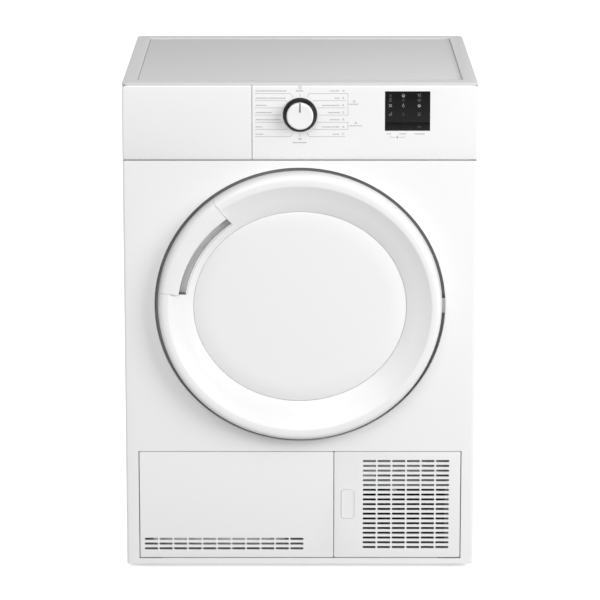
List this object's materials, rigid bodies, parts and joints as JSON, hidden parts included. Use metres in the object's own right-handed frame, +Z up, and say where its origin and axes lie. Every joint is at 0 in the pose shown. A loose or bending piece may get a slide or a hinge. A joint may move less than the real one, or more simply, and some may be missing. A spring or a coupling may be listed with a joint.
{
  "type": "clothes dryer",
  "caption": "Free-standing condenser clothes dryer with an oval front door, control fascia, water tank drawer, turning drum and lower service door.",
  "frame": {"origin": "on the floor, in the middle of the overall width and depth with the door shut", "axes": "+Z up, the front with the door faces -Y, +X to the right of a person facing the machine"},
  "size_m": [0.597, 0.598, 0.846],
  "materials": {
    "white_paint": "white baked enamel on steel sheet",
    "white_plastic": "white moulded plastic, satin",
    "top_plastic": "light grey moulded plastic, satin",
    "top_board": "light grey laminate, fine grain",
    "groove_grey": "dark grey moulded plastic",
    "grey_plastic": "grey moulded plastic",
    "dark_plastic": "black moulded plastic",
    "black_gloss": "black gloss plastic",
    "zinc_steel": "zinc-coated steel",
    "drum_steel": "stainless steel",
    "aluminium": "bare aluminium",
    "rubber": "black rubber",
    "felt": "grey felt",
    "clear_cover": "clear plastic",
    "tank_plastic": "translucent white plastic"
  },
  "bodies": {
    "cabinet": {"base_tray": "grey_plastic", "left_side_panel": "white_paint", "right_side_panel": "white_paint", "rear_panel": "zinc_steel", "front_panel": "white_paint", "worktop_frame": "top_plastic", "worktop_board": "top_board", "front_crossrail": "zinc_steel", "control_fascia": "white_plastic", "display_window": "black_gloss", "control_board": "grey_plastic", "tank_tray": "grey_plastic", "door_surround": "groove_grey", "front_bulkhead": "white_plastic", "rear_bulkhead": "zinc_steel", "drum_front_seal": "felt", "door_catch": "grey_plastic", "drum_belt": "rubber", "motor_housing": "zinc_steel", "process_fan_housing": "grey_plastic", "heater_duct": "zinc_steel", "condenser": "aluminium", "condensate_pump": "dark_plastic", "kick_grille": "white_plastic", "mains_inlet": "dark_plastic", "drum_lamp": "clear_cover", "hinge_bracket": "zinc_steel"},
    "door": {"door_rim": "white_plastic", "door_disc": "white_plastic", "door_handle": "white_plastic", "door_inner_panel": "white_plastic", "door_hinge": "zinc_steel", "door_hook": "zinc_steel"},
    "tank_drawer": {"tank_drawer_front": "white_plastic", "water_tank": "tank_plastic"},
    "knob": {"knob_skirt": "black_gloss", "knob_cap": "white_plastic"},
    "key_1": {"key_1": "black_gloss"},
    "key_2": {"key_2": "black_gloss"},
    "key_3": {"key_3": "black_gloss"},
    "drum": {"drum_shell": "drum_steel", "drum_rear_wall": "drum_steel", "lifter_1": "white_plastic", "lifter_2": "white_plastic", "lifter_3": "white_plastic"},
    "roller_left": {"roller_left": "dark_plastic"},
    "roller_right": {"roller_right": "dark_plastic"},
    "rotor": {"rotor_shaft": "zinc_steel", "process_fan": "dark_plastic", "cooling_fan": "dark_plastic"},
    "idler": {"idler_pulley": "dark_plastic"},
    "lint_filter": {"lint_filter": "grey_plastic"},
    "kick_door": {"kick_door": "white_plastic"},
    "kick_button": {"kick_button": "white_plastic"},
    "condenser_lock_left": {"condenser_lock_left": "grey_plastic"},
    "condenser_lock_right": {"condenser_lock_right": "grey_plastic"},
    "foot_front_left": {"foot_front_left": "rubber"},
    "foot_front_right": {"foot_front_right": "rubber"},
    "foot_rear_left": {"foot_rear_left": "rubber"},
    "foot_rear_right": {"foot_rear_right": "rubber"}
  },
  "joints": [
    {"name": "door_swing", "type": "hinge", "parent": "cabinet", "child": "door", "pos_m": [0.264, -0.26, 0.4654], "axis": [0, 0, 1], "range_deg": [0, 112]},
    {"name": "tank_pull", "type": "slide", "parent": "cabinet", "child": "tank_drawer", "axis": [0, -1, 0], "range_m": [0, 0.44]},
    {"name": "knob_turn", "type": "hinge", "parent": "cabinet", "child": "knob", "pos_m": [0, -0.269, 0.793], "axis": [0, -1, 0], "continuous": true},
    {"name": "key_1_press", "type": "slide", "parent": "cabinet", "child": "key_1", "axis": [0, 1, 0], "range_m": [0, 0.0015], "stiffness_N_per_m": 1500, "springref_m": -0.0006},
    {"name": "key_2_press", "type": "slide", "parent": "cabinet", "child": "key_2", "axis": [0, 1, 0], "range_m": [0, 0.0015], "stiffness_N_per_m": 1500, "springref_m": -0.0006},
    {"name": "key_3_press", "type": "slide", "parent": "cabinet", "child": "key_3", "axis": [0, 1, 0], "range_m": [0, 0.0015], "stiffness_N_per_m": 1500, "springref_m": -0.0006},
    {"name": "drum_turn", "type": "hinge", "parent": "cabinet", "child": "drum", "pos_m": [0, 0, 0.4654], "axis": [0, 1, 0], "continuous": true},
    {"name": "roller_left_turn", "type": "hinge", "parent": "cabinet", "child": "roller_left", "pos_m": [-0.1572, -0.21, 0.19312], "axis": [0, 1, 0], "continuous": true},
    {"name": "roller_right_turn", "type": "hinge", "parent": "cabinet", "child": "roller_right", "pos_m": [0.1572, -0.21, 0.19312], "axis": [0, 1, 0], "continuous": true},
    {"name": "rotor_turn", "type": "hinge", "parent": "cabinet", "child": "rotor", "pos_m": [0.165, 0, 0.1], "axis": [0, 1, 0], "continuous": true},
    {"name": "idler_turn", "type": "hinge", "parent": "cabinet", "child": "idler", "pos_m": [0.095, 0.1, 0.108], "axis": [0, 1, 0], "continuous": true},
    {"name": "filter_lift", "type": "slide", "parent": "cabinet", "child": "lint_filter", "axis": [0, 0, 1], "range_m": [0, 0.1]},
    {"name": "kick_door_swing", "type": "hinge", "parent": "cabinet", "child": "kick_door", "pos_m": [-0.272, -0.263, 0.11], "axis": [0, 0, -1], "range_deg": [0, 90]},
    {"name": "kick_button_press", "type": "slide", "parent": "cabinet", "child": "kick_button", "axis": [0, 1, 0], "range_m": [0, 0.004], "stiffness_N_per_m": 600, "springref_m": -0.001},
    {"name": "condenser_lock_left_turn", "type": "hinge", "parent": "cabinet", "child": "condenser_lock_left", "pos_m": [-0.2215, -0.2464, 0.122], "axis": [0, -1, 0], "range_deg": [0, 90]},
    {"name": "condenser_lock_right_turn", "type": "hinge", "parent": "cabinet", "child": "condenser_lock_right", "pos_m": [-0.0595, -0.2464, 0.122], "axis": [0, 1, 0], "range_deg": [0, 90]},
    {"name": "foot_front_left_screw", "type": "slide", "parent": "cabinet", "child": "foot_front_left", "axis": [0, 0, -1], "range_m": [0, 0.012]},
    {"name": "foot_front_right_screw", "type": "slide", "parent": "cabinet", "child": "foot_front_right", "axis": [0, 0, -1], "range_m": [0, 0.012]},
    {"name": "foot_rear_left_screw", "type": "slide", "parent": "cabinet", "child": "foot_rear_left", "axis": [0, 0, -1], "range_m": [0, 0.012]},
    {"name": "foot_rear_right_screw", "type": "slide", "parent": "cabinet", "child": "foot_rear_right", "axis": [0, 0, -1], "range_m": [0, 0.012]}
  ],
  "couplings": [
    {"joint": "roller_left_turn", "follows": "drum_turn", "ratio": -9.4667},
    {"joint": "roller_right_turn", "follows": "drum_turn", "ratio": -9.4667},
    {"joint": "rotor_turn", "follows": "drum_turn", "ratio": 21.526},
    {"joint": "idler_turn", "follows": "drum_turn", "ratio": -12.839}
  ]
}
